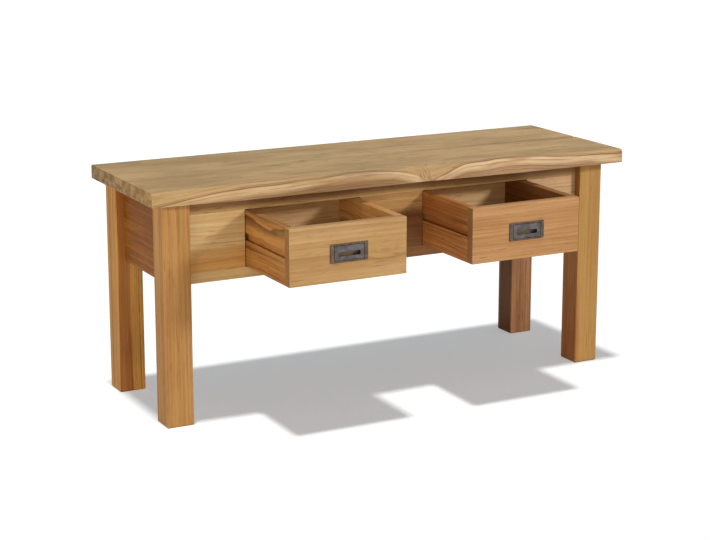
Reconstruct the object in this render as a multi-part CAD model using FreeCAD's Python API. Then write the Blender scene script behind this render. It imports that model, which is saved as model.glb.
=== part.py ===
"""Entry bench of solid wood: a two-board seat with a waney front edge on four square legs, joined by a
tenoned apron frame that holds two drawers on wooden runners, each with a flush bail pull.

Millimetres. +Z is up, +X is to the right and -Y is the front. The origin is on the floor, under the
middle of the rectangle that the four legs stand on. The drawers are drawn pulled out.
"""

import FreeCAD
import Part
import math
import os

# Seat: two boards glued edge to edge, the front one with its natural edge
seat_length = 900.0
seat_depth = 300.0
seat_height = 400.0
seat_thickness = 24.0
seat_edge_round = 2.0
rear_board_width = 148.0
end_overhang = 24.0
rear_overhang = 2.0
front_overhang = 30.0

# Legs
leg_width = 47.0
leg_edge_round = 2.0
foot_chamfer = 1.5

# Apron frame: the front is two rails with three short boards between them
apron_height = 140.0
apron_thickness = 18.0
apron_setback = 15.0
rear_apron_setback = 4.0
apron_edge_round = 1.0
top_rail_height = 24.0
bottom_rail_height = 18.0
centre_panel_width = 122.0
opening_width = 215.0

# Tenons of the rails and aprons in the legs
tenon_thickness = 8.0
tenon_shoulder = 4.0
tenon_gap = 1.0
tenon_clearance = 0.1

# Drawers
drawer_pull_out = 166.0
drawer_side_gap = 1.5
drawer_top_gap = 1.6
drawer_bottom_gap = 1.4
drawer_back_gap = 4.0
drawer_edge_round = 1.0
drawer_front_thickness = 16.0
drawer_side_thickness = 14.0
drawer_back_thickness = 12.0
drawer_back_rebate = 4.0
drawer_floor_thickness = 5.0
drawer_floor_rise = 8.0
drawer_floor_groove = 5.0
tongue_thickness = 6.0
tongue_length = 6.0
tongue_stop = 8.0
drawer_joint_clearance = 0.1

# Guide boards behind the front, and the runners that the drawers' grooved sides hang on
guide_thickness = 15.0
guide_margin = 4.0
guide_housing = 5.0
runner_height = 12.0
runner_reach = 5.5
runner_housing = 3.0
runner_rise = 3.0
runner_groove_depth = 6.5
runner_top_gap = 0.3
runner_bottom_gap = 0.7
runner_stop_gap = 0.5
housing_clearance = 0.1

# Cleats on the end aprons that hold the seat down
cleat_width = 20.0
cleat_height = 20.0
cleat_end_gap = 2.0

# Countersunk wood screws
screw_shank_radius = 2.0
screw_head_radius = 4.0
screw_head_height = 2.2
screw_clearance = 0.1
top_screw_length = 38.0
top_screw_inset = 25.0
runner_screw_length = 20.0

# Flush pull: a plate with a sunk pan, and a flat ring of a bail on a pin
plate_width = 68.0
plate_height = 31.0
plate_thickness = 2.0
plate_corner_radius = 1.2
plate_edge_chamfer = 0.5
pan_wall = 1.2
pan_depth = 9.0
pan_clearance = 0.1
bail_width = 53.0
bail_height = 24.0
bail_thickness = 3.0
bail_proud = 0.6
bail_corner_radius = 1.5
bail_edge_chamfer = 0.5
bail_gap = 0.8
finger_slot_width = 40.0
finger_slot_height = 7.0
finger_slot_radius = 1.5
finger_slot_drop = 2.0
pin_radius = 1.0
pin_clearance = 0.05

# The waney edge, from the left end to the right end. Each station gives its place along the seat as a
# share of the length, how far the lower arris is drawn in from the widest line, the height of the ridge
# as a share of the thickness, and how far the ridge and the upper arris lie behind the lower one.
# The eighth station is the hollow where a knot met the edge.
waney_stations = (
    (-0.500, 17.0, 0.90, -0.5, 1.5),
    (-0.460, 14.5, 0.65, 0.0, 8.0),
    (-0.355, 8.0, 0.45, 0.5, 18.0),
    (-0.240, 7.0, 0.45, 0.0, 21.0),
    (-0.150, 6.5, 0.65, -1.0, 11.0),
    (-0.085, 6.0, 0.90, -2.0, 2.0),
    (-0.015, 6.0, 0.80, -1.0, 5.0),
    (0.045, 7.5, 0.30, 3.0, 24.0),
    (0.090, 5.5, 0.40, 1.5, 20.0),
    (0.170, 3.0, 0.60, 4.0, 14.0),
    (0.260, 0.5, 0.70, 8.5, 14.0),
    (0.320, 0.0, 0.85, 2.5, 6.0),
    (0.390, 0.0, 0.85, 0.0, 4.0),
    (0.450, 0.5, 0.85, 0.0, 3.0),
    (0.500, 2.0, 0.85, 0.0, 3.0),
)
waney_fullness = 0.2
waney_run_past = 0.2
waney_end_run = 20.0

# Places worked out from the sizes above
half_length = seat_length / 2 - end_overhang
half_depth = (seat_depth - rear_overhang - front_overhang) / 2
leg_height = seat_height - seat_thickness
leg_inner_x = half_length - leg_width
leg_inner_y = half_depth - leg_width
seat_rear = half_depth + rear_overhang
seat_front = -half_depth - front_overhang
seat_joint = seat_rear - rear_board_width
apron_low = leg_height - apron_height
front_face = -half_depth + apron_setback
front_back = front_face + apron_thickness
rear_face = half_depth - rear_apron_setback
rear_inner = rear_face - apron_thickness
end_face = half_length - apron_setback
end_inner = end_face - apron_thickness
tenon_length = leg_width - apron_setback - (apron_thickness + tenon_thickness) / 2 - tenon_gap
opening_low = apron_low + bottom_rail_height
opening_high = leg_height - top_rail_height
opening_inner = centre_panel_width / 2
opening_outer = opening_inner + opening_width
opening_middle = (opening_inner + opening_outer) / 2
drawer_low = opening_low + drawer_bottom_gap
drawer_high = opening_high - drawer_top_gap
drawer_half = opening_width / 2 - drawer_side_gap
drawer_rear = rear_inner - drawer_back_gap
drawer_side_front = front_face + drawer_front_thickness
drawer_inside_half = drawer_half - drawer_side_thickness
drawer_floor_low = drawer_low + drawer_floor_rise
drawer_floor_high = drawer_floor_low + drawer_floor_thickness
runner_low = (drawer_low + drawer_high) / 2 + runner_rise - runner_height / 2
runner_high = runner_low + runner_height
runner_front = drawer_side_front + runner_stop_gap
plate_front = front_face - plate_thickness
plate_middle = (drawer_low + drawer_high) / 2
pan_half_width = bail_width / 2 + bail_gap
pan_half_height = bail_height / 2 + bail_gap
bail_front = plate_front - bail_proud
pin_depth = bail_front + bail_thickness / 2
finger_slot_middle = plate_middle - finger_slot_drop
upper_bar_low = finger_slot_middle + finger_slot_height / 2
upper_bar_high = plate_middle + bail_height / 2
pin_height = (upper_bar_low + upper_bar_high) / 2

right = FreeCAD.Vector(1, 0, 0)
forward = FreeCAD.Vector(0, -1, 0)
up = FreeCAD.Vector(0, 0, 1)


def block(x_limits, y_limits, z_limits):
    """A box between two limits on each axis, given in either order."""
    low = FreeCAD.Vector(min(x_limits), min(y_limits), min(z_limits))
    high = FreeCAD.Vector(max(x_limits), max(y_limits), max(z_limits))
    size = high - low
    return Part.makeBox(size.x, size.y, size.z, low)


def around(middle, half):
    """The two limits at the same distance on each side of a middle."""
    return (middle - half, middle + half)


def grown(limits, clearance):
    """The limits of a fitted piece, opened by a clearance at both ends."""
    return (min(limits) - clearance, max(limits) + clearance)


def cut_all(shape, cutters):
    """The shape with every cutter taken out of it."""
    for cutter in cutters:
        shape = shape.cut(cutter)
    return shape


def edges_along(shape, direction):
    """The straight edges of a shape that run along a direction."""
    found = []
    for edge in shape.Edges:
        if isinstance(edge.Curve, Part.Line):
            if edge.tangentAt(edge.FirstParameter).cross(direction).Length < 1e-6:
                found.append(edge)
    return found


def edges_at(edges, axis, place):
    """The edges of a list whose middle lies at a place on the axis "x", "y" or "z"."""
    return [edge for edge in edges if abs(getattr(edge.CenterOfMass, axis) - place) < 1e-6]


def eased_below(shape, direction, radius):
    """The shape with its lowest edges along a direction rounded over."""
    lowest = edges_at(edges_along(shape, direction), "z", shape.BoundBox.ZMin)
    return shape.makeFillet(radius, lowest)


def waney_section(ridge_share, ridge_set, top_set):
    """The set-back and height share of four points of the edge: below, the ridge, the shoulder, above."""
    shoulder_share = (ridge_share + 1) / 2
    shoulder_set = ridge_set + (top_set - ridge_set) * (0.5 - waney_fullness)
    below = -waney_run_past
    above = 1 + waney_run_past
    below_set = ridge_set * below / ridge_share
    above_set = shoulder_set + (top_set - shoulder_set) * (above - shoulder_share) / (1 - shoulder_share)
    return (
        (below_set, below),
        (ridge_set, ridge_share),
        (shoulder_set, shoulder_share),
        (above_set, above),
    )


def waney_faces():
    """The faces of the natural edge, run on past the board's ends, top and underside."""
    end_share = 0.5
    lines = ([], [], [], [])
    for share, drawn_in, ridge_share, ridge_set, top_set in waney_stations:
        x = share * seat_length
        if abs(share) == end_share:
            x += math.copysign(waney_end_run, share)
        for line, (set_back, height_share) in zip(lines, waney_section(ridge_share, ridge_set, top_set)):
            y = seat_front + drawn_in + set_back
            line.append(FreeCAD.Vector(x, y, leg_height + height_share * seat_thickness))
    curves = []
    for line in lines:
        curve = Part.BSplineCurve()
        curve.interpolate(Points=line, Parameters=[station[0] for station in waney_stations])
        curves.append(curve.toShape())
    return [Part.makeRuledSurface(lower, upper) for lower, upper in zip(curves, curves[1:])]


def screw(length):
    """A countersunk screw with its head's flat face at the origin, pointing along +Z."""
    shank = Part.makeCylinder(screw_shank_radius, length)
    head = Part.makeCone(screw_head_radius, screw_shank_radius, screw_head_height)
    return head.fuse(shank).removeSplitter()


def screw_hole(length):
    """The hole that a screw sits in, a little wider than the screw all round."""
    wide = screw_shank_radius + screw_clearance
    head = Part.makeCone(screw_head_radius + screw_clearance, wide, screw_head_height)
    return Part.makeCylinder(wide, length + screw_clearance).fuse(head)


def turned_sideways(shape, side):
    """A screw or its hole, turned from +Z to point along +X or -X."""
    turned = shape.copy()
    turned.rotate(FreeCAD.Vector(0, 0, 0), FreeCAD.Vector(0, 1, 0), 90 * side)
    return turned


def top_screw_places():
    """Where the seat's screws enter the cleats from below."""
    reach = leg_inner_y - cleat_end_gap - top_screw_inset
    cleat_middle = end_inner - cleat_width / 2
    places = []
    for x in (-cleat_middle, cleat_middle):
        for y in (-reach, reach):
            places.append(FreeCAD.Vector(x, y, leg_height - cleat_height))
    return places


def runner_screw_place(edge, side):
    """Where a runner's screw enters it, for the guide board beyond one edge of an opening."""
    x = edge - side * (drawer_side_gap + runner_reach)
    return FreeCAD.Vector(x, (runner_front + rear_inner) / 2, (runner_low + runner_high) / 2)


def placed(shape, places):
    """Copies of a shape, one at each place."""
    copies = []
    for place in places:
        copy = shape.copy()
        copy.translate(place)
        copies.append(copy)
    return copies


def rail_tenon(side, y_middle, z_limits):
    """The limits of a tenon at one end of a rail or apron that runs along X."""
    x_limits = (side * leg_inner_x, side * (leg_inner_x + tenon_length))
    z_inside = (min(z_limits) + tenon_shoulder, max(z_limits) - tenon_shoulder)
    return (x_limits, around(y_middle, tenon_thickness / 2), z_inside)


def end_tenon(side, way):
    """The limits of a tenon at the front (way -1) or rear (way 1) of an end apron."""
    x_limits = around(side * (end_face + end_inner) / 2, tenon_thickness / 2)
    y_limits = (way * leg_inner_y, way * (leg_inner_y + tenon_length))
    return (x_limits, y_limits, (apron_low + tenon_shoulder, leg_height - tenon_shoulder))


def rail(y_limits, z_limits):
    """A rail between two legs with a tenon at each end."""
    body = block((-leg_inner_x, leg_inner_x), y_limits, z_limits)
    for side in (-1, 1):
        body = body.fuse(block(*rail_tenon(side, sum(y_limits) / 2, z_limits)))
    return body.removeSplitter()


def leg(side, way):
    """A square leg, eased along its corners and feet, with its mortises."""
    x_limits = (side * leg_inner_x, side * half_length)
    y_limits = (way * leg_inner_y, way * half_depth)
    body = block(x_limits, y_limits, (0, leg_height))
    body = body.makeFillet(leg_edge_round, edges_along(body, up))
    sole = [edge for edge in body.Edges if edge.BoundBox.ZMax < leg_edge_round]
    body = body.makeChamfer(foot_chamfer, sole)
    tenons = [end_tenon(side, way)]
    if way < 0:
        front_middle = (front_face + front_back) / 2
        tenons.append(rail_tenon(side, front_middle, (opening_high, leg_height)))
        tenons.append(rail_tenon(side, front_middle, (apron_low, opening_low)))
    else:
        tenons.append(rail_tenon(side, (rear_face + rear_inner) / 2, (apron_low, leg_height)))
    mortises = []
    for limits in tenons:
        mortises.append(block(*[grown(pair, tenon_clearance) for pair in limits]))
    return cut_all(body, mortises)


def seat_board_front():
    """The front seat board, cut back to its waney edge, with pilot holes for the screws below."""
    body = block((-seat_length / 2, seat_length / 2), (seat_front, seat_joint), (leg_height, seat_height))
    waste = [face.extrude(forward * seat_depth) for face in waney_faces()]
    holes = placed(screw_hole(top_screw_length), top_screw_places())
    return cut_all(body, waste + holes)


def seat_board_rear():
    """The rear seat board, eased along its straight rear edge, with pilot holes."""
    body = block((-seat_length / 2, seat_length / 2), (seat_joint, seat_rear), (leg_height, seat_height))
    rear_edges = edges_at(body.Edges, "y", seat_rear)
    body = body.makeFillet(seat_edge_round, rear_edges)
    holes = placed(screw_hole(top_screw_length), top_screw_places())
    return cut_all(body, holes)


def front_panel(x_limits):
    """A short board of the front, between the two rails and beside an opening."""
    return block(x_limits, (front_face, front_back), (opening_low, opening_high))


def guide_edges():
    """The four guide boards: the opening edge that each stands beyond, and the way it lies from it."""
    return {
        "left_outer": (-opening_outer, -1),
        "left_inner": (-opening_inner, 1),
        "right_inner": (opening_inner, -1),
        "right_outer": (opening_outer, 1),
    }


def guide_limits(edge, side):
    """The limits of a guide board, from the front's back to its housing in the rear apron."""
    x_limits = (edge, edge + side * guide_thickness)
    y_limits = (front_back, rear_inner + guide_housing)
    return (x_limits, y_limits, (apron_low + guide_margin, leg_height - guide_margin))


def runner_screw_hole(edge, side):
    """The hole for a runner's screw, through the runner and into its guide board."""
    hole = turned_sideways(screw_hole(runner_screw_length), side)
    hole.translate(runner_screw_place(edge, side))
    return hole


def guide_board(edge, side):
    """A guide board with the housing and the screw hole of its runner."""
    body = block(*guide_limits(edge, side))
    x_limits = (edge, edge + side * (runner_housing + housing_clearance))
    z_limits = grown((runner_low, runner_high), housing_clearance)
    housing = block(x_limits, (front_back, rear_inner), z_limits)
    return cut_all(body, [housing, runner_screw_hole(edge, side)])


def runner(edge, side):
    """A hardwood runner, housed in its guide board and reaching into the drawer side's groove."""
    tip = edge - side * (drawer_side_gap + runner_reach)
    bearing = block((tip, edge), (runner_front, rear_inner), (runner_low, runner_high))
    housed_end = edge + side * runner_housing
    housed = block((edge, housed_end), (front_back, rear_inner), (runner_low, runner_high))
    return bearing.fuse(housed).removeSplitter().cut(runner_screw_hole(edge, side))


def runner_screws():
    """The screws of the four runners."""
    screws = []
    for edge, side in guide_edges().values():
        screws.append(turned_sideways(screw(runner_screw_length), side))
        screws[-1].translate(runner_screw_place(edge, side))
    return Part.makeCompound(screws)


def rear_apron():
    """The rear apron, housed for the guide boards' ends."""
    body = eased_below(rail((rear_inner, rear_face), (apron_low, leg_height)), right, apron_edge_round)
    housings = []
    for edge, side in guide_edges().values():
        limits = guide_limits(edge, side)
        housings.append(block(*[grown(pair, housing_clearance) for pair in limits]))
    return cut_all(body, housings)


def end_apron(side):
    """The apron between the legs of one end, with its two tenons."""
    x_limits = (side * end_inner, side * end_face)
    body = block(x_limits, (-leg_inner_y, leg_inner_y), (apron_low, leg_height))
    body = eased_below(body, forward, apron_edge_round)
    for way in (-1, 1):
        body = body.fuse(block(*end_tenon(side, way)))
    return body.removeSplitter()


def top_cleat(side):
    """The cleat under the seat, along one end apron."""
    x_limits = (side * end_inner, side * (end_inner - cleat_width))
    y_limits = around(0, leg_inner_y - cleat_end_gap)
    body = block(x_limits, y_limits, (leg_height - cleat_height, leg_height))
    return cut_all(body, placed(screw_hole(top_screw_length), top_screw_places()))


def top_screws():
    """The screws that pull the seat down on its frame."""
    return Part.makeCompound(placed(screw(top_screw_length), top_screw_places()))


def drawer_floor_limits(middle, clearance):
    """The limits of a drawer's floor, or of the grooves around it with a clearance."""
    x_limits = grown(around(middle, drawer_inside_half + drawer_floor_groove), clearance)
    y_limits = (drawer_side_front - drawer_floor_groove - clearance, drawer_rear)
    return (x_limits, y_limits, grown((drawer_floor_low, drawer_floor_high), clearance))


def tongue_limits(middle, hand, clearance):
    """The limits of the tongue that joins a drawer side to the front, or of its housing."""
    outer = middle + hand * (drawer_half - (drawer_side_thickness - tongue_thickness) / 2)
    x_limits = grown((outer, outer - hand * tongue_thickness), clearance)
    y_limits = (drawer_side_front - tongue_length - clearance, drawer_side_front)
    return (x_limits, y_limits, (drawer_low, drawer_high - tongue_stop + clearance))


def drawer_front(middle):
    """A drawer front with housings for the sides and the floor, and a pocket for the pull's pan."""
    body = block(around(middle, drawer_half), (front_face, drawer_side_front), (drawer_low, drawer_high))
    body = body.makeFillet(drawer_edge_round, edges_at(body.Edges, "y", front_face))
    pocket = block(
        around(middle, pan_half_width + pan_wall + pan_clearance),
        (front_face, front_face + pan_depth + pan_clearance),
        around(plate_middle, pan_half_height + pan_wall + pan_clearance),
    )
    cutters = [pocket, block(*drawer_floor_limits(middle, drawer_joint_clearance))]
    for hand in (-1, 1):
        cutters.append(block(*tongue_limits(middle, hand, drawer_joint_clearance)))
    return cut_all(body, cutters)


def drawer_side(middle, hand):
    """A drawer side with its tongue, and its grooves for the runner, the floor and the back."""
    outer = middle + hand * drawer_half
    inner = outer - hand * drawer_side_thickness
    body = block((outer, inner), (drawer_side_front, drawer_rear), (drawer_low, drawer_high))
    groove = block(
        (outer, outer - hand * runner_groove_depth),
        (drawer_side_front, drawer_rear),
        (runner_low - runner_bottom_gap, runner_high + runner_top_gap),
    )
    rebate = block(
        (inner, inner + hand * (drawer_back_rebate + drawer_joint_clearance)),
        (drawer_rear - drawer_back_thickness - drawer_joint_clearance, drawer_rear),
        (drawer_low, drawer_high),
    )
    floor_groove = block(*drawer_floor_limits(middle, drawer_joint_clearance))
    tongue = block(*tongue_limits(middle, hand, 0))
    return cut_all(body.fuse(tongue).removeSplitter(), [groove, rebate, floor_groove])


def drawer_back(middle):
    """A drawer back, standing on the floor between the sides' rebates."""
    x_limits = around(middle, drawer_inside_half + drawer_back_rebate)
    y_limits = (drawer_rear - drawer_back_thickness, drawer_rear)
    return block(x_limits, y_limits, (drawer_floor_high, drawer_high))


def drawer_floor(middle):
    """A drawer floor in the grooves of the front and the sides."""
    return block(*drawer_floor_limits(middle, 0))


def pull_pin_rod(middle, radius, half):
    """A rod along the bail's pivot."""
    start = FreeCAD.Vector(middle - half, pin_depth, pin_height)
    return Part.makeCylinder(radius, 2 * half, start, right)


def pull_plate(middle):
    """The pull's plate with the sunk pan behind it and a hole in each cheek for the pin."""
    plate = block(
        around(middle, plate_width / 2),
        (plate_front, front_face),
        around(plate_middle, plate_height / 2),
    )
    plate = plate.makeFillet(plate_corner_radius, edges_along(plate, forward))
    plate = plate.makeChamfer(plate_edge_chamfer, edges_at(plate.Edges, "y", plate_front))
    pan = block(
        around(middle, pan_half_width + pan_wall),
        (front_face, front_face + pan_depth),
        around(plate_middle, pan_half_height + pan_wall),
    )
    hollow = block(
        around(middle, pan_half_width),
        (plate_front - plate_thickness, front_face + pan_depth - pan_wall),
        around(plate_middle, pan_half_height),
    )
    body = plate.fuse(pan).removeSplitter().cut(hollow)
    return body.cut(pull_pin_rod(middle, pin_radius + pin_clearance, pan_half_width + pan_wall))


def pull_bail(middle):
    """The bail: a flat ring with a finger slot, bored along its upper bar for the pin."""
    y_limits = (bail_front, bail_front + bail_thickness)
    ring = block(around(middle, bail_width / 2), y_limits, around(plate_middle, bail_height / 2))
    ring = ring.makeFillet(bail_corner_radius, edges_along(ring, forward))
    slot_heights = around(finger_slot_middle, finger_slot_height / 2)
    slot = block(around(middle, finger_slot_width / 2), y_limits, slot_heights)
    slot = slot.makeFillet(finger_slot_radius, edges_along(slot, forward))
    ring = ring.cut(slot)
    ring = ring.makeChamfer(bail_edge_chamfer, edges_at(ring.Edges, "y", bail_front))
    return ring.cut(pull_pin_rod(middle, pin_radius + pin_clearance, bail_width / 2))


def pull_pin(middle):
    """The pin that the bail turns on, held in the pan's cheeks."""
    return pull_pin_rod(middle, pin_radius, pan_half_width + pan_wall)


def frame_pieces():
    """Every piece that stands still, by name."""
    pieces = {"seat_board_front": seat_board_front(), "seat_board_rear": seat_board_rear()}
    for way_name, way in (("front", -1), ("rear", 1)):
        for side_name, side in (("left", -1), ("right", 1)):
            pieces["leg_" + way_name + "_" + side_name] = leg(side, way)
    pieces["front_top_rail"] = rail((front_face, front_back), (opening_high, leg_height))
    bottom_rail = rail((front_face, front_back), (apron_low, opening_low))
    pieces["front_bottom_rail"] = eased_below(bottom_rail, right, apron_edge_round)
    pieces["front_panel_left"] = front_panel((-leg_inner_x, -opening_outer))
    pieces["front_panel_centre"] = front_panel((-opening_inner, opening_inner))
    pieces["front_panel_right"] = front_panel((opening_outer, leg_inner_x))
    pieces["rear_apron"] = rear_apron()
    for side_name, side in (("left", -1), ("right", 1)):
        pieces["end_apron_" + side_name] = end_apron(side)
        pieces["top_cleat_" + side_name] = top_cleat(side)
    pieces["top_screws"] = top_screws()
    for name, (edge, side) in guide_edges().items():
        pieces["guide_board_" + name] = guide_board(edge, side)
        pieces["runner_" + name] = runner(edge, side)
    pieces["runner_screws"] = runner_screws()
    return pieces


def drawer_pieces(name, middle):
    """Every piece of one drawer and its pull, by name, pulled out of its opening."""
    pieces = {
        "front": drawer_front(middle),
        "side_left": drawer_side(middle, -1),
        "side_right": drawer_side(middle, 1),
        "back": drawer_back(middle),
        "floor": drawer_floor(middle),
        "pull_plate": pull_plate(middle),
        "pull_bail": pull_bail(middle),
        "pull_pin": pull_pin(middle),
    }
    moved = {}
    for piece, shape in pieces.items():
        shape.translate(forward * drawer_pull_out)
        moved["drawer_" + name + "_" + piece] = shape
    return moved


def main():
    os.makedirs("parts", exist_ok=True)
    pieces = frame_pieces()
    pieces.update(drawer_pieces("left", -opening_middle))
    pieces.update(drawer_pieces("right", opening_middle))
    for name, shape in pieces.items():
        shape.exportStep("parts/" + name + ".step")


main()
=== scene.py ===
"""The looks of the entry bench: oiled boards that each have their own figure, a natural seat edge and dark
bronze pulls, on a pale studio floor.

Metres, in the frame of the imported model: +Z is up, +X is to the right and -Y is the front.
"""

import math

import bmesh
import bpy
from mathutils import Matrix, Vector, noise
from mathutils.bvhtree import BVHTree


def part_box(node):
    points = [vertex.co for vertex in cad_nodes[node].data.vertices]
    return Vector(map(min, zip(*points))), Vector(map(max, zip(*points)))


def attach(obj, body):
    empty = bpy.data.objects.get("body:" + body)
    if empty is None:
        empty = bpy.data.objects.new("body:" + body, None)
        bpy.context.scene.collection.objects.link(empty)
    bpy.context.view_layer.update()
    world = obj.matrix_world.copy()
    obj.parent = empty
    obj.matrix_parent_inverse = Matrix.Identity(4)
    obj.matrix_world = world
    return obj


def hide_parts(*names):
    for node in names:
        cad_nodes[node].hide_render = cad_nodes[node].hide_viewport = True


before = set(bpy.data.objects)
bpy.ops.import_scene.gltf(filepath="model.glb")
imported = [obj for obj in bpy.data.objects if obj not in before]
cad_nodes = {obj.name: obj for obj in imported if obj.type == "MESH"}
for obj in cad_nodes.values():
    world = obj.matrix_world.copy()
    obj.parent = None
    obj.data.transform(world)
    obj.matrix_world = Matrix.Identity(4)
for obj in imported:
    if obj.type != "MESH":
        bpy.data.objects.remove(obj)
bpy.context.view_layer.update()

# Camera
camera_place = (-1.46756, -2.79142, 0.97374)
camera_turn = 27.69
camera_dip = 12.58
camera_lens = 91.08
camera_sensor = 36.0
camera_rise = -0.060
camera_sees_to = 200.0

# Studio. A lamp level of 1 shows a colour as it is written on a surface that faces the lamp.
bench_middle = (0.0, -0.06, 0.28)
overhead_level = 0.62
overhead_place = (-0.22, -0.22, 3.0)
overhead_spread = 4.5
key_level = 0.62
key_turn = 36.0
key_rise = 24.0
key_distance = 3.2
key_size = 0.45
front_level = 0.30
front_place = (-0.80, -2.20, 0.60)
front_size = 1.2
left_level = 0.68
left_place = (-0.90, -0.28, 0.34)
left_aim = (-0.43, -0.02, 0.24)
left_size = 0.5
warm_light = (1.0, 0.88, 0.72)
amber_light = (1.0, 0.84, 0.48)
white_light = (1.0, 1.0, 1.0)
room_level = 0.20
floor_half = 30.0
floor_tone = 1.0
floor_lift = 0.33
floor_lift_tint = (0.93, 1.0, 1.05, 1.0)

# Edges
board_easing = 0.0005
metal_easing = 0.00025
easing_segments = 2
easing_angle = 40
weld_distance = 0.00001
crisp_angle = 38

# Surfaces: how much a relief shows, and how deep it is
wood_gloss = 0.1
wood_relief = (0.35, 0.0003)
bronze_metallic = 0.85
bronze_relief = (0.25, 0.0001)
zinc_relief = (0.2, 0.0001)
seed_step = 3.7


def tone(code):
    """A colour for a shader from a six-figure code of red, green and blue as they show on a screen."""
    shares = [int(code[i:i + 2], 16) / 255 for i in (0, 2, 4)]
    linear = [s / 12.92 if s <= 0.04045 else ((s + 0.055) / 1.055) ** 2.4 for s in shares]
    return (*linear, 1.0)


class Wiring:
    """Places nodes in one tree and wires them. An input takes another node's socket or a plain value."""

    def __init__(self, tree):
        self.tree = tree

    def node(self, kind, **settings):
        """A new node with its settings."""
        made = self.tree.nodes.new("ShaderNode" + kind)
        for name, value in settings.items():
            setattr(made, name, value)
        return made

    def feed(self, socket, value):
        """Wires a socket to an input, or sets the input to a plain value."""
        if isinstance(value, bpy.types.NodeSocket):
            self.tree.links.new(value, socket)
        else:
            socket.default_value = value

    def math(self, operation, *values):
        """A sum or other operation on numbers."""
        made = self.node("Math", operation=operation)
        for socket, value in zip(made.inputs, values):
            self.feed(socket, value)
        return made.outputs["Value"]

    def vector(self, operation, *values):
        """An operation on vectors that gives a vector."""
        made = self.node("VectorMath", operation=operation)
        for socket, value in zip(made.inputs, values):
            self.feed(socket, value)
        return made.outputs["Vector"]

    def scaled(self, vector, amount):
        """A vector made longer by an amount."""
        made = self.node("VectorMath", operation="SCALE")
        self.feed(made.inputs["Vector"], vector)
        self.feed(made.inputs["Scale"], amount)
        return made.outputs["Vector"]

    def length(self, vector):
        """The length of a vector."""
        made = self.node("VectorMath", operation="LENGTH")
        self.feed(made.inputs["Vector"], vector)
        return made.outputs["Value"]

    def alike(self, first, second):
        """The dot product of two directions."""
        made = self.node("VectorMath", operation="DOT_PRODUCT")
        self.feed(made.inputs[0], first)
        self.feed(made.inputs[1], second)
        return made.outputs["Value"]

    def step(self, value, low, high, start=0.0, end=1.0):
        """A smooth step from start to end while the value goes from low to high."""
        made = self.node("MapRange", interpolation_type="SMOOTHSTEP")
        for name, given in (
            ("Value", value), ("From Min", low), ("From Max", high), ("To Min", start), ("To Max", end),
        ):
            self.feed(made.inputs[name], given)
        return made.outputs["Result"]

    def cloud(self, place, stretch, detail=2.0, roughness=0.5):
        """A noise texture over a place that is stretched first."""
        made = self.node("TexNoise")
        self.feed(made.inputs["Vector"], self.vector("MULTIPLY", place, stretch))
        made.inputs["Scale"].default_value = 1.0
        made.inputs["Detail"].default_value = detail
        made.inputs["Roughness"].default_value = roughness
        return made

    def line_noise(self, place):
        """Noise along one number."""
        made = self.node("TexNoise", noise_dimensions="1D")
        self.feed(made.inputs["W"], place)
        made.inputs["Scale"].default_value = 1.0
        made.inputs["Detail"].default_value = 1.0
        return made.outputs["Fac"]

    def about_nought(self, value, amount):
        """A value between 0 and 1 as a swing of that amount to both sides of nought."""
        return self.math("MULTIPLY", self.math("SUBTRACT", value, 0.5), amount)

    def bell(self, value):
        """A bell curve: 1 at nought, falling off to both sides."""
        return self.math("POWER", math.e, self.math("MULTIPLY", self.math("MULTIPLY", value, value), -1.0))

    def mix(self, share, first, second):
        """A colour that is the second one by that share, and else the first."""
        made = self.node("Mix", data_type="RGBA")
        self.feed(made.inputs["Factor"], share)
        self.feed(made.inputs[6], first)
        self.feed(made.inputs[7], second)
        return made.outputs[2]

    def group(self, tree, **values):
        """A node group with values for its inputs. An underscore in a name stands for a space."""
        made = self.node("Group", node_tree=tree)
        for name, value in values.items():
            self.feed(made.inputs[name.replace("_", " ")], value)
        return made


socket_kinds = {"value": "NodeSocketFloat", "vector": "NodeSocketVector", "colour": "NodeSocketColor"}


def new_group(name, inputs, outputs):
    """An empty node group with named sockets: its wiring, its inputs and its outputs."""
    tree = bpy.data.node_groups.new(name, "ShaderNodeTree")
    for label, (kind, default) in inputs.items():
        socket = tree.interface.new_socket(label, in_out="INPUT", socket_type=socket_kinds[kind])
        socket.default_value = default
    for label, kind in outputs.items():
        tree.interface.new_socket(label, in_out="OUTPUT", socket_type=socket_kinds[kind])
    entry = tree.nodes.new("NodeGroupInput")
    leave = tree.nodes.new("NodeGroupOutput")
    return Wiring(tree), entry.outputs, leave.inputs


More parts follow.
